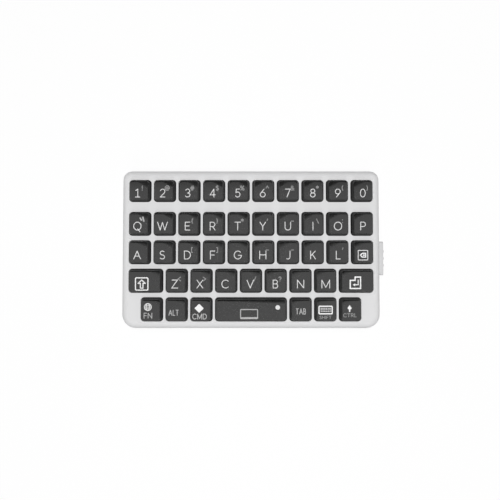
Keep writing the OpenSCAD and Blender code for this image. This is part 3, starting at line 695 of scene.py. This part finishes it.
# Each letter: its width and its strokes, with a capital one unit tall
BRACE = [[(.28, 1.06), *arc(.28, .82, .14, .2, 100, 180), (.13, .62), (0, .5), (.13, .38),
          *arc(.28, .18, .14, .2, 180, 260)]]
PARENTHESIS = [arc(.62, .5, .6, .78, 137, 223)]
BRACKET = [[(.24, 1.05), (0, 1.05), (0, -.05), (.24, -.05)]]
LETTERS = {
    "0": (.62, [arc(.31, .5, .31, .5, 90, 450)]),
    "1": (.54, [[(.04, .82), (.29, 1), (.29, 0)], [(0, 0), (.56, 0)]]),
    "2": (.60, [[*arc(.3, .71, .28, .29, 165, -38), (0, 0), (.6, 0)]]),
    "3": (.60, [[*arc(.29, .75, .26, .25, 150, -90), *arc(.29, .26, .30, .26, 75, -150)]]),
    "4": (.66, [[(.48, 0), (.48, 1), (0, .27), (.66, .27)]]),
    "5": (.60, [[(.54, 1), (.13, 1), (.07, .52), *arc(.28, .32, .31, .32, 118, -148)]]),
    "6": (.62, [arc(.31, .31, .31, .31, 90, 450), [(.47, 1), (.05, .47)]]),
    "7": (.60, [[(0, 1), (.6, 1), (.2, 0)]]),
    "8": (.60, [arc(.3, .76, .25, .24, -90, 270), arc(.3, .26, .3, .26, 90, 450)]),
    "9": (.62, [arc(.31, .69, .31, .31, 90, 450), [(.15, 0), (.57, .53)]]),
    "A": (.87, [[(0, 0), (.435, 1), (.87, 0)], [(.16, .36), (.71, .36)]]),
    "B": (.58, [[(0, .52), (0, 1), *arc(.30, .76, .24, .24, 90, -90), (0, .52), (0, 0),
                 *arc(.31, .26, .27, .26, -90, 90)]]),
    "C": (.82, [arc(.48, .5, .48, .5, 46, 314)]),
    "D": (.77, [[(0, 0), (0, 1), *arc(.29, .5, .48, .5, 90, -90), (0, 0)]]),
    "E": (.59, [[(.59, 1), (0, 1), (0, 0), (.59, 0)], [(0, .52), (.52, .52)]]),
    "F": (.54, [[(.54, 1), (0, 1), (0, 0)], [(0, .5), (.48, .5)]]),
    "G": (.88, [[*arc(.46, .5, .46, .5, 44, 355), (.52, .46)]]),
    "H": (.78, [[(0, 0), (0, 1)], [(.78, 0), (.78, 1)], [(0, .52), (.78, .52)]]),
    "I": (0, [[(0, 0), (0, 1)]]),
    "J": (.52, [[(.52, 1), *arc(.26, .26, .26, .26, 0, -125)]]),
    "K": (.63, [[(0, 0), (0, 1)], [(.6, 1), (0, .38)], [(.2, .59), (.63, 0)]]),
    "L": (.49, [[(0, 1), (0, 0), (.49, 0)]]),
    "M": (.98, [[(0, 0), (0, 1), (.49, .08), (.98, 1), (.98, 0)]]),
    "N": (.80, [[(0, 0), (0, 1), (.8, 0), (.8, 1)]]),
    "O": (.94, [arc(.47, .5, .47, .5, 0, 360)]),
    "P": (.60, [[(0, 0), (0, 1), *arc(.32, .72, .28, .28, 90, -90), (0, .44)]]),
    "Q": (.94, [arc(.47, .5, .47, .5, 0, 360), [(.52, .14), (.80, -.24)]]),
    "R": (.62, [[(0, 0), (0, 1), *arc(.32, .72, .28, .28, 90, -90), (0, .44)],
                [(.30, .44), (.62, 0)]]),
    "S": (.62, [[*arc(.32, .755, .27, .245, 38, 270), *arc(.30, .255, .30, .255, 75, -145)]]),
    "T": (.70, [[(0, 1), (.7, 1)], [(.35, 1), (.35, 0)]]),
    "U": (.70, [[(0, 1), *arc(.35, .34, .35, .34, 180, 360), (.7, 1)]]),
    "V": (.82, [[(0, 1), (.41, 0), (.82, 1)]]),
    "W": (1.25, [[(0, 1), (.33, 0), (.625, .95), (.92, 0), (1.25, 1)]]),
    "X": (.74, [[(0, 1), (.74, 0)], [(.74, 1), (0, 0)]]),
    "Y": (.70, [[(0, 1), (.35, .46), (.7, 1)], [(.35, .46), (.35, 0)]]),
    "Z": (.76, [[(.04, 1), (.73, 1), (0, 0), (.76, 0)]]),
    "!": (0, [[(0, 1), (0, .36)], [(0, 0), (0, .04)]]),
    "@": (1.0, [arc(.48, .5, .2, .22, 0, 360), [(.68, .72), (.68, .42),
                *arc(.84, .44, .16, .16, 180, 340), *arc(.5, .5, .52, .56, 0, 300)]]),
    "#": (.82, [[(.2, 0), (.34, 1)], [(.5, 0), (.64, 1)], [(.02, .66), (.82, .66)],
                [(0, .34), (.8, .34)]]),
    "$": (.62, [[*arc(.32, .755, .27, .245, 38, 270), *arc(.30, .255, .30, .255, 75, -145)],
                [(.31, -.14), (.31, 1.14)]]),
    "%": (.84, [[(.1, 0), (.74, 1)], arc(.17, .8, .17, .2, 0, 360),
                arc(.67, .2, .17, .2, 0, 360)]),
    "^": (.62, [[(0, .5), (.31, 1), (.62, .5)]]),
    "&": (.78, [[(.76, 0), (.18, .66), *arc(.35, .8, .19, .2, 222, -42),
                 *arc(.28, .24, .27, .24, 128, 318), (.74, .44)]]),
    "*": (.56, [[(.28, 1), (.28, .44)], [(.03, .86), (.53, .58)], [(.53, .86), (.03, .58)]]),
    "(": (.16, PARENTHESIS), ")": (.16, mirrored(.16, PARENTHESIS)),
    "{": (.28, BRACE), "}": (.28, mirrored(.28, BRACE)),
    "[": (.24, BRACKET), "]": (.24, mirrored(.24, BRACKET)),
    "<": (.6, [[(.6, .95), (0, .5), (.6, .05)]]),
    ">": (.6, [[(0, .95), (.6, .5), (0, .05)]]),
    "~": (.84, [[*arc(.21, .46, .21, .18, 180, 0), *arc(.63, .54, .21, .18, 180, 360)]]),
    "?": (.5, [[*arc(.25, .74, .25, .26, 165, -55), (.25, .42), (.25, .32)],
               [(.25, 0), (.25, .04)]]),
    ":": (0, [[(0, .76), (0, .8)], [(0, .14), (0, .18)]]),
    "'": (.12, [[(.12, 1), (0, .66)]]),
    "-": (.5, [[(0, .5), (.5, .5)]]),
    "_": (.7, [[(0, 0), (.7, 0)]]),
    "/": (.5, [[(0, 0), (.5, 1)]]),
    "\\": (.5, [[(0, 1), (.5, 0)]]),
    '"': (.5, [[(-.06, 1.02), (.16, .68)], [(.40, 1.18), (.56, .5)]]),
}


def lettering(text, x, y, height, width=None):
    """Strokes of a word in millimetres, its middle at x, y. Width squeezes or spreads it."""
    letters = [LETTERS[c] for c in text]
    total = sum(w for w, _ in letters) + LETTER_GAP * (len(text) - 1)
    stretch = height if width is None else width / total
    pen = -total / 2
    strokes = []
    for letter_width, lines in letters:
        for line in lines:
            strokes.append([(x + (pen + u) * stretch, y + (v - 0.5) * height)
                            for u, v in line])
        pen += letter_width + LETTER_GAP
    return strokes


def frame_line(x, y, width, height, radius):
    """Closed line round a rectangle with round corners."""
    w, h = width / 2 - radius, height / 2 - radius
    line = []
    for quarter, (sx, sy) in enumerate(((1, 1), (-1, 1), (-1, -1), (1, -1))):
        line += arc(x + sx * w, y + sy * h, radius, radius, 90 * quarter, 90 * quarter + 90)
    return line + line[:1]


def in_short_steps(points):
    """The same line as vectors, with no step longer than INK_STEP or of no length."""
    line = [Vector(points[0])]
    for point in map(Vector, points[1:]):
        start, length = line[-1], (point - line[-1]).length
        if length > SHORTEST_STEP:
            steps = math.ceil(length / INK_STEP)
            line += [start.lerp(point, (i + 1) / steps) for i in range(steps)]
    return line


def ribbon(points, half):
    """Faces of a line of ink: mitred where it bends gently, round at ends and corners."""
    faces, discs = [], [points[0], points[-1]]
    points = in_short_steps(points)
    sides = []
    for a, b in zip(points, points[1:]):
        along = (b - a).normalized()
        sides.append(Vector((-along.y, along.x)))
    looped = (points[0] - points[-1]).length < SAME_PLACE
    for i, side in enumerate(sides):
        a, b = points[i], points[i + 1]
        before = sides[i - 1] if i or looped else side
        after = sides[(i + 1) % len(sides)] if i + 1 < len(sides) or looped else side
        ends = []
        for other, point in ((before, a), (after, b)):
            cosine = side.dot(other)
            if cosine > GENTLE_BEND:
                mitre = (side + other).normalized()
                ends.append(mitre * (half / mitre.dot(side)))
            else:
                ends.append(side * half)
                discs.append(tuple(point))
        faces.append([a - ends[0], b - ends[1], b + ends[1], a + ends[0]])
    for centre in {(round(x, 4), round(y, 4)) for x, y in discs}:
        faces.append([Vector(p) for p in arc(*centre, half, half, 0, 360)[:-1]])
    return faces


def goes_round(outline, x, y):
    """Whether a closed outline goes round a point."""
    crossings = 0
    for a, b in zip(outline, outline[1:] + outline[:1]):
        if (a.y > y) != (b.y > y) and x < a.x + (b.x - a.x) * (y - a.y) / (b.y - a.y):
            crossings += 1
    return crossings % 2


def grid_inside(outline):
    """Points in short steps inside a closed outline."""
    count = round(WIDEST_FILL / INK_STEP)
    spread = [count // -2 + i for i in range(count + 1)]
    return [Vector((x, y)) * INK_STEP for x in spread for y in spread
            if goes_round(outline, x * INK_STEP, y * INK_STEP)]


def top_height(place, width, depth, across, along, reach, slope):
    """Height of a cap's bulging top above the desk at a place on it, in millimetres."""
    sag = SAG_ACROSS * (2 * place.x / width) ** 2 + SAG_ALONG * (2 * place.y / depth) ** 2
    short = (width * abs(across) + depth * along) / 2 - place.x * across - place.y * along
    return CAP_TOP - sag - max(0, 1 - short / reach) ** FALL_POWER * reach * slope


def print_ink(name, marks, cap, material):
    """Thin solid in the shape of all the marks together, draped over the cap's top. Each
    mark is (strokes, line width) or, for a filled shape, (outline, 0)."""
    points, faces, outlines = [], [], []
    for strokes, width in marks:
        shapes = [[Vector(p) for p in line[:-1]] for line in strokes] if not width else [
            face for line in strokes for face in ribbon(line, width / 2)]
        for shape in shapes:
            area = sum(a.x * b.y - b.x * a.y for a, b in zip(shape, shape[1:] + shape[:1]))
            faces.append(range(len(points), len(points) + len(shape)))
            outlines.append([p + LEGEND_NUDGE for p in (shape if area > 0 else shape[::-1])])
            points += outlines[-1]
        if not width:
            points += [p + LEGEND_NUDGE for p in grid_inside(shapes[0])]
    spots, _, triangles, *_ = delaunay_2d_cdt(points, [], faces, 1, 1e-5)
    inside = []
    for triangle in triangles:
        middle = sum((spots[i] for i in triangle), Vector((0, 0))) / 3
        if any(goes_round(outline, *middle) for outline in outlines):
            inside.append(triangle)
    corners = []
    for offset in (-INK_ROOT, INK_THICKNESS):
        corners += [(p.x * MM, p.y * MM, (top_height(p, *cap) + offset) * MM)
                    for p in spots]
    count = len(spots)
    edges = {(t[i], t[(i + 1) % len(t)]) for t in inside for i in range(len(t))}
    skin = [[i + count for i in t] for t in inside] + [list(t)[::-1] for t in inside]
    skin += [(a, b, b + count, a + count) for a, b in edges if (b, a) not in edges]
    mesh = bpy.data.meshes.new(name)
    mesh.from_pydata(corners, [], skin)
    mesh.validate()
    mesh.materials.append(material)
    solid = bmesh.new()
    solid.from_mesh(mesh)
    loose = [v for v in solid.verts if not v.link_faces]
    bmesh.ops.delete(solid, geom=loose, context="VERTS")
    solid.to_mesh(mesh)
    solid.free()
    return mesh


def arrow_up(x, y, width, height, shaft):
    """Closed outline of a block arrow."""
    w, h, s = width / 2, height / 2, shaft / 2
    neck = h - w * 0.95
    line = [(0, h), (-w, neck), (-s, neck), (-s, -h), (s, -h), (s, neck), (w, neck), (0, h)]
    return [(x + a, y + b) for a, b in line]


def legend(key):
    """Marks on one key, as {ink: [(strokes, line width)]}, about the key's middle."""
    if len(key) == 1:
        y = NUMBER_Y if key.isdigit() else LETTER_Y
        marks = {INK: [(lettering(key.upper(), LETTER_X, y, LETTER_HEIGHT), LETTER_LINE)]}
        if key in SECOND_MARKS:
            ink, height, line = BOLD_MARKS.get(key, (FAINT_INK, SECOND_HEIGHT, SECOND_LINE))
            second = lettering(SECOND_MARKS[key], LETTER_X + SECOND[0], y + SECOND[1], height)
            marks[ink] = [(second, line)]
        return marks
    word = lettering(key.upper(), *WORDS[key]) if key in WORDS else []
    if key == "backspace":
        tag = [(-0.95, -0.99), (-0.42, -0.45), (0.55, -0.45), (0.55, -1.53), (-0.42, -1.53),
               (-0.95, -0.99)]
        cross = [[(-.15, -.84), (.2, -1.14)], [(-.15, -1.14), (.2, -.84)]]
        return {INK: [([frame_line(-0.21, -0.99, 2.70, 2.70, 0.15)], 0.22)],
                BRIGHT_INK: [([tag], 0.3), (cross, 0.2)]}
    if key == "caps":
        return {BRIGHT_INK: [([frame_line(-0.55, -0.92, 3.52, 3.46, 0.25)], 0.3)],
                INK: [([arrow_up(-0.55, -0.95, 2.0, 2.3, 0.74)], 0.32)]}
    if key == "enter":
        block = [(0.82, 1.03), (0.82, -2.19), (-2.10, -2.19), (-2.10, 0.10), (-0.72, 0.10),
                 (-0.72, 1.03), (0.82, 1.03)]
        hook = [(0.14, 0.20), (0.14, -1.16), (-0.70, -1.16)]
        head = [(-1.40, -1.16), (-0.72, -0.74), (-0.72, -1.58), (-1.40, -1.16)]
        return {BRIGHT_INK: [([block], 0.36), ([hook], 0.24), ([head], 0)]}
    if key == "fn":
        globe = [arc(-.55, .79, 1.0, 1.0, 0, 360), arc(-.55, .79, .46, 1.0, 0, 360),
                 [(-1.5, .79), (.4, .79)], [(-1.36, 1.3), (.26, 1.3)],
                 [(-1.36, .28), (.26, .28)]]
        return {INK: [(globe, 0.2)], DIM_INK: [(word, 0.2)]}
    if key == "cmd":
        diamond = [(-.31, 1.5), (-1.42, .44), (-.31, -.62), (.8, .44), (-.31, 1.5)]
        return {BRIGHT_INK: [([diamond], 0.3), ([diamond], 0)], DIM_INK: [(word, 0.22)]}
    if key == "space":
        bar = [[(-2.72, -2.3), (1.84, -2.3)]]
        dot = arc(7.66, .67, .55, .55, 0, 360)
        return {DIM_INK: [([frame_line(-.44, -1.19, 4.8, 2.56, 0.2)], 0.26), (bar, 0.46)],
                INK: [([dot], 0.2), ([dot], 0)]}
    if key == "shift":
        rows = [[(-1.55 + dx, y), (-1.55 + dx + .22, y)] for y in (.42, 0.0, -.42)
                for dx in (0, .5, 1.0, 1.5, 2.0, 2.5)]
        return {BRIGHT_INK: [([frame_line(-.2, -.05, 3.72, 2.11, 0.25)], 0.34)],
                INK: [(rows, 0.2)], FAINT_INK: [(word, 0.16)]}
    if key == "ctrl":
        leaf = [(-.55, 1.36), (-.92, .86), (-1.16, .46), (-.74, .02), (-.36, .02), (.06, .46),
                (-.18, .86), (-.55, 1.36)]
        stem = [[(-.55, .2), (-.55, -.42)]]
        return {BRIGHT_INK: [([leaf], 0), (stem, 0.36)], FAINT_INK: [(word, 0.2)]}
    return {DIM_INK: [(word, 0.2)]}


def make_keys():
    tree = key_cap_tree()
    keys = [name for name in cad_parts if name.startswith("key_")]
    jobs, places = [], []
    for key in keys:
        low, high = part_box(key)
        width, depth = (side - 2 * FLANGE_REACH * MM for side in (high - low).xy)
        middle = (low + high) / 2
        long = width > LONG_KEY * MM
        turn, reach, slope = SPACE_FALL if long else FALL
        across = math.cos(math.radians(turn)) * (-1 if middle.x > MM else 1)
        along = math.sin(math.radians(turn))
        jobs.append((key, tree, {"Width": width, "Depth": depth, "Fall Across": across,
                                 "Fall Along": along, "Fall Reach": reach * MM,
                                 "Fall Slope": slope, "Stems": 3 if long else 1,
                                 "Wall Plastic": CAP_WALLS,
                                 "Top Plastic": CAP_TOPS}))
        places.append((middle.x, middle.y, width / MM - 2 * CAP_LEAN,
                       depth / MM - 2 * CAP_LEAN, across, along, reach, slope))
    for key, mesh, (x, y, *cap) in zip(keys, run_trees(jobs), places):
        inks = [print_ink(key, marks, cap, ink) for ink, marks in legend(key[4:]).items()]
        mesh = join(key, [mesh, *inks])
        mesh.transform(Matrix.Translation((x, y, 0)))
        put("cap" + key[3:], mesh, key, "key_plastic", key)


make_keys()


# ---------------------------------------------------------------- shells, knob and fittings

SAME_CORNER = 0.0005    # mm between corners that are merged
FLAT_UP_TO = 0.2        # degrees between faces that become one
ROUNDED_FROM = 40       # degrees between faces whose edge is rounded
EDGE_SEGMENTS = 2
FLAT_FACE = 100         # mm2, a larger face is shaded flat


def solid_of(node):
    """The frame's solid with its loose triangles joined."""
    source = bmesh.new()
    source.from_mesh(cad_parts[node].data)
    bmesh.ops.remove_doubles(source, verts=source.verts, dist=SAME_CORNER * MM)
    return source


def moulded(node, material, edge):
    """Mesh of the frame's solid with its sharp edges rounded by a radius in millimetres."""
    source = solid_of(node)
    bmesh.ops.dissolve_limit(source, angle_limit=math.radians(FLAT_UP_TO), verts=source.verts,
                             edges=source.edges)
    mesh = bpy.data.meshes.new(node)
    source.to_mesh(mesh)
    source.free()
    mesh.materials.clear()
    mesh.materials.append(material)
    for face in mesh.polygons:
        face.use_smooth = True
    thing = bpy.data.objects.new(node, mesh)
    bpy.context.scene.collection.objects.link(thing)
    bevel = thing.modifiers.new("edges", "BEVEL")
    bevel.width = edge * MM
    bevel.segments = EDGE_SEGMENTS
    bevel.limit_method = "ANGLE"
    bevel.angle_limit = math.radians(ROUNDED_FROM)
    bevel.harden_normals = True
    depsgraph = bpy.context.evaluated_depsgraph_get()
    finished = bpy.data.meshes.new_from_object(thing.evaluated_get(depsgraph),
                                               depsgraph=depsgraph)
    bpy.data.objects.remove(thing)
    for face in finished.polygons:
        face.use_smooth = face.area < FLAT_FACE * MM ** 2
    return finished


def turned(tree, vertices, rings):
    """Closed solid of revolution: a stack of rings, each a radius and a height as wires."""
    before, height = rings[0]
    disc = add(tree, "GeometryNodeMeshCircle", {"Vertices": vertices, "Radius": before},
               fill_type="NGON")
    base = body = lifted(tree, disc(), height)
    top = None
    for radius, height in rings[1:]:
        body, top = rise(tree, body, top, 0.0)
        place, wider = parts_of(tree, place_of(tree)), radius / before
        where = xyz(tree, X=place("X") * wider, Y=place("Y") * wider, Z=height)
        body = add(tree, "GeometryNodeSetPosition",
                   {"Geometry": body, "Selection": top, "Position": where})()
        before = radius
    return closed(tree, base, body)


def lifted(tree, geometry, height):
    """A geometry, moved up."""
    return add(tree, "GeometryNodeTransform",
               {"Geometry": geometry, "Translation": xyz(tree, Z=height)})()


def cuboid(tree, **sides):
    """A box about the origin, its sides given as X, Y and Z."""
    return add(tree, "GeometryNodeMeshCube", {"Size": xyz(tree, **sides)})()


TONGUE_WIDTH, TONGUE_THICKNESS = 6.7, 0.7       # mm
TONGUE_HEIGHT = 2.95            # mm, its middle above the desk
TONGUE_ROOT, TONGUE_TIP = 16.2, 22.1    # mm, from the middle towards the back edge
CONTACT_PROUD = 0.06    # mm, on the tongue's two faces together
CONTACT_BACK = 0.25     # mm, from the tongue's tip
TONGUE_MARGIN = 0.01    # mm, round the faces that are taken as the tongue's


def contact_tree():
    """Row of flat contacts that show on both faces of a socket's tongue."""
    tree, size = new_tree("Socket contacts", {
        "Count": 12, "Pitch": 0.5 * MM, "Width": 0.26 * MM, "Length": 3.4 * MM,
        "Thickness": (TONGUE_THICKNESS + CONTACT_PROUD) * MM,
        "Height": TONGUE_HEIGHT * MM, "Tip": (TONGUE_TIP - CONTACT_BACK) * MM, "Metal": None})
    strip = cuboid(tree, X=size["Width"], Y=size["Length"], Z=size["Thickness"])
    strips = row_of(tree, strip, size["Count"], size["Pitch"],
                    X=(size["Count"] - 1) * size["Pitch"] / -2,
                    Y=size["Tip"] - size["Length"] / 2, Z=size["Height"])
    close_tree(tree, strips, size["Metal"])
    return tree


def socket_mesh():
    """Folded steel sleeve with a black tongue and its gold contacts."""
    sleeve = moulded("usb_socket", STEEL, 0.05)
    sleeve.materials.append(BLACK)
    for face in sleeve.polygons:
        x, y, z = face.center / MM
        if abs(x) < TONGUE_WIDTH / 2 + TONGUE_MARGIN and y > TONGUE_ROOT and \
                abs(z - TONGUE_HEIGHT) < TONGUE_THICKNESS / 2 + TONGUE_MARGIN:
            face.material_index = 1
    return join("charging_socket",
                [sleeve, *run_trees([("contacts", contact_tree(), {"Metal": GOLD})])])


HEAD_SIDES, SHAFT_SIDES = 40, 24
SHAFT_OVERLAP = 0.05    # mm into the head
# mm from the keyboard's middle
SCREW_PLACES = [(x * side, y) for x, y in ((28.5, 12.21), (33.9, -18.7)) for side in (-1, 1)]


def screw_tree():
    """Screws with a cross recess in a chamfered head and a threaded shaft."""
    tree, size = new_tree("Cross-head screws", {
        "Head Radius": 1.1 * MM, "Head Height": 0.6 * MM, "Chamfer": 0.1 * MM,
        "Recess Width": 0.3 * MM, "Recess Length": 1.46 * MM, "Recess Depth": 0.3 * MM,
        "Shaft Radius": 0.6 * MM, "Core Radius": 0.47 * MM, "Shaft Length": 5.7 * MM,
        "Thread Pitch": 0.4 * MM, "Threads": 14, "Foot": 0.4 * MM, "Metal": None})
    radius, height, chamfer = size["Head Radius"], size["Head Height"], size["Chamfer"]
    head = turned(tree, HEAD_SIDES,
                  [(radius - chamfer, 0.0), (radius, chamfer), (radius, height)])
    long, short, deep = size["Recess Length"], size["Recess Width"], size["Recess Depth"]
    # The two slots end at slightly different depths, as equal ones leave a torn face
    head = cut_away(tree, head, cuboid(tree, X=long, Y=short, Z=deep * 2.0),
                    cuboid(tree, X=short, Y=long, Z=deep * 2.1))
    core, length = size["Core Radius"], size["Shaft Length"]
    shaft = turned(tree, SHAFT_SIDES,
                   [(core, height - SHAFT_OVERLAP * MM), (core, height + length - core),
                    (core * 0.4, height + length)])
    ridge = turned(tree, SHAFT_SIDES,
                   [(core * 0.98, 0.0), (size["Shaft Radius"], chamfer),
                    (core * 0.98, size["Thread Pitch"] * 0.7)])
    turns = add(tree, "GeometryNodeMeshLine",
                {"Count": size["Threads"] - 1, "Start Location": xyz(tree, Z=height),
                 "Offset": xyz(tree, Z=size["Thread Pitch"])})()
    screw = all_of(tree, head, shaft, copies(tree, ridge, turns))
    spots = [add(tree, "GeometryNodePoints",
                 {"Count": 1, "Position": xyz(tree, X=x * MM, Y=y * MM, Z=size["Foot"])})()
             for x, y in SCREW_PLACES]
    close_tree(tree, copies(tree, screw, all_of(tree, *spots)), size["Metal"])
    return tree


ROUND_SIDES = 32        # of the light rod and the domes


def light_rod_tree():
    """Clear rod with a domed end that leads a light out through a hole in the back wall."""
    tree, size = new_tree("Light rod", {
        "Radius": 0.42 * MM, "Start": 21.78 * MM, "End": 22.92 * MM, "Dome": 0.16 * MM,
        "Across": 9.5 * MM, "Up": 3.4 * MM, "Clear Plastic": None})
    radius, end, dome = size["Radius"], size["End"] - size["Start"], size["Dome"]
    rod = turned(tree, ROUND_SIDES,
                 [(radius, 0.0), (radius, end - dome), (radius * 0.87, end - dome * 0.5),
                  (radius * 0.5, end - dome * 0.13), (radius * 0.2, end)])
    placed = add(tree, "GeometryNodeTransform",
                 {"Geometry": rod, "Rotation": (-math.pi / 2, 0, 0),
                  "Translation": xyz(tree, X=size["Across"], Y=size["Start"],
                                     Z=size["Up"])})
    close_tree(tree, placed(), size["Clear Plastic"])
    return tree


MAT_FOOT, MAT_FACE, DOME_TOP = 5.35, 5.75, 6.50      # mm above the desk


def rubber_sheet():
    """The frame's rubber mat without its domes, closed where they stood."""
    sheet = solid_of("rubber_mat")
    bmesh.ops.bisect_plane(sheet, geom=sheet.verts[:] + sheet.edges[:] + sheet.faces[:],
                           dist=WELD * MM, plane_co=(0, 0, MAT_FACE * MM),
                           plane_no=(0, 0, 1), clear_outer=True)
    rims = [edge for edge in sheet.edges if edge.is_boundary]
    bmesh.ops.triangle_fill(sheet, use_beauty=True, edges=rims, normal=(0, 0, 1))
    mesh = bpy.data.meshes.new("rubber_sheet")
    sheet.to_mesh(mesh)
    sheet.free()
    mesh.materials.clear()
    mesh.materials.append(RUBBER)
    return mesh


def dome_tree():
    """Row of rubber domes, hollow underneath, with a solid core for the stem to stand on."""
    tree, size = new_tree("Rubber domes", {
        "Mat Foot": MAT_FOOT * MM, "Mat Face": MAT_FACE * MM, "Top": DOME_TOP * MM,
        "Foot Radius": 2.3 * MM, "Top Radius": 1.3 * MM, "Wall": 0.3 * MM,
        "Core": 0.4 * MM, "Count": 1, "Pitch": KEY_PITCH * MM, "Rubber": None})
    foot, top, wall = size["Foot Radius"], size["Top Radius"], size["Wall"]
    outer = turned(tree, ROUND_SIDES, [(foot, size["Mat Face"]), (top, size["Top"])])
    inner = turned(tree, ROUND_SIDES, [(foot - wall, size["Mat Foot"]),
                                       (top - wall, size["Top"] - size["Core"])])
    domes = row_of(tree, cut_away(tree, outer, inner), size["Count"], size["Pitch"],
                   X=(size["Count"] - 1) * size["Pitch"] / -2)
    close_tree(tree, domes, size["Rubber"])
    return tree


def make_mat():
    """The rubber mat: a sheet, and under each key its domes."""
    put("rubber_sheet", rubber_sheet(), "case", "silicone", "rubber_mat")
    tree = dome_tree()
    keys = [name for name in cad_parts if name.startswith("key_")]
    counts = [3 if key == "key_space" else 1 for key in keys]
    meshes = run_trees([(key, tree, {"Count": count, "Rubber": RUBBER})
                        for key, count in zip(keys, counts)])
    for key, mesh in zip(keys, meshes):
        low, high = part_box(key)
        x, y, _ = (low + high) / 2
        mesh.transform(Matrix.Translation((x, y, 0)))
        dome = put("dome" + key[3:], mesh, "case", "silicone")
        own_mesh(dome)


make_mat()
put("top_shell", moulded("top_case", SHELL, 0.12), "case", "case_plastic", "top_case")
put("bottom_shell", moulded("bottom_case", SHELL, 0.10), "case", "case_plastic",
    "bottom_case")
put("thumb_knob", moulded("switch_knob", KNOB, 0.12), "power_knob", "knob_plastic",
    "switch_knob")
put("charging_socket", socket_mesh(), "case", "socket_steel", "usb_socket")
screws, light_rod = run_trees([("screws", screw_tree(), {"Metal": SCREW}),
                               ("light_rod", light_rod_tree(), {"Clear Plastic": LENS_GLASS})])
put("screws", screws, "case", "screw_steel", "case_screws")
put("light_rod", light_rod, "case", "light_lens")

HIDDEN_FINISHES = {
    "circuit_board": BOARD, "radio_module": CAN, "battery": FOIL,
    "battery_pad": FOAM, "battery_lead": wire_finish(), "switch_body": CAN,
    "switch_slider": BLACK, "status_led": LENS_GLASS}
for node, material in HIDDEN_FINISHES.items():
    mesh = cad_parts[node].data
    mesh.materials.clear()
    mesh.materials.append(material)
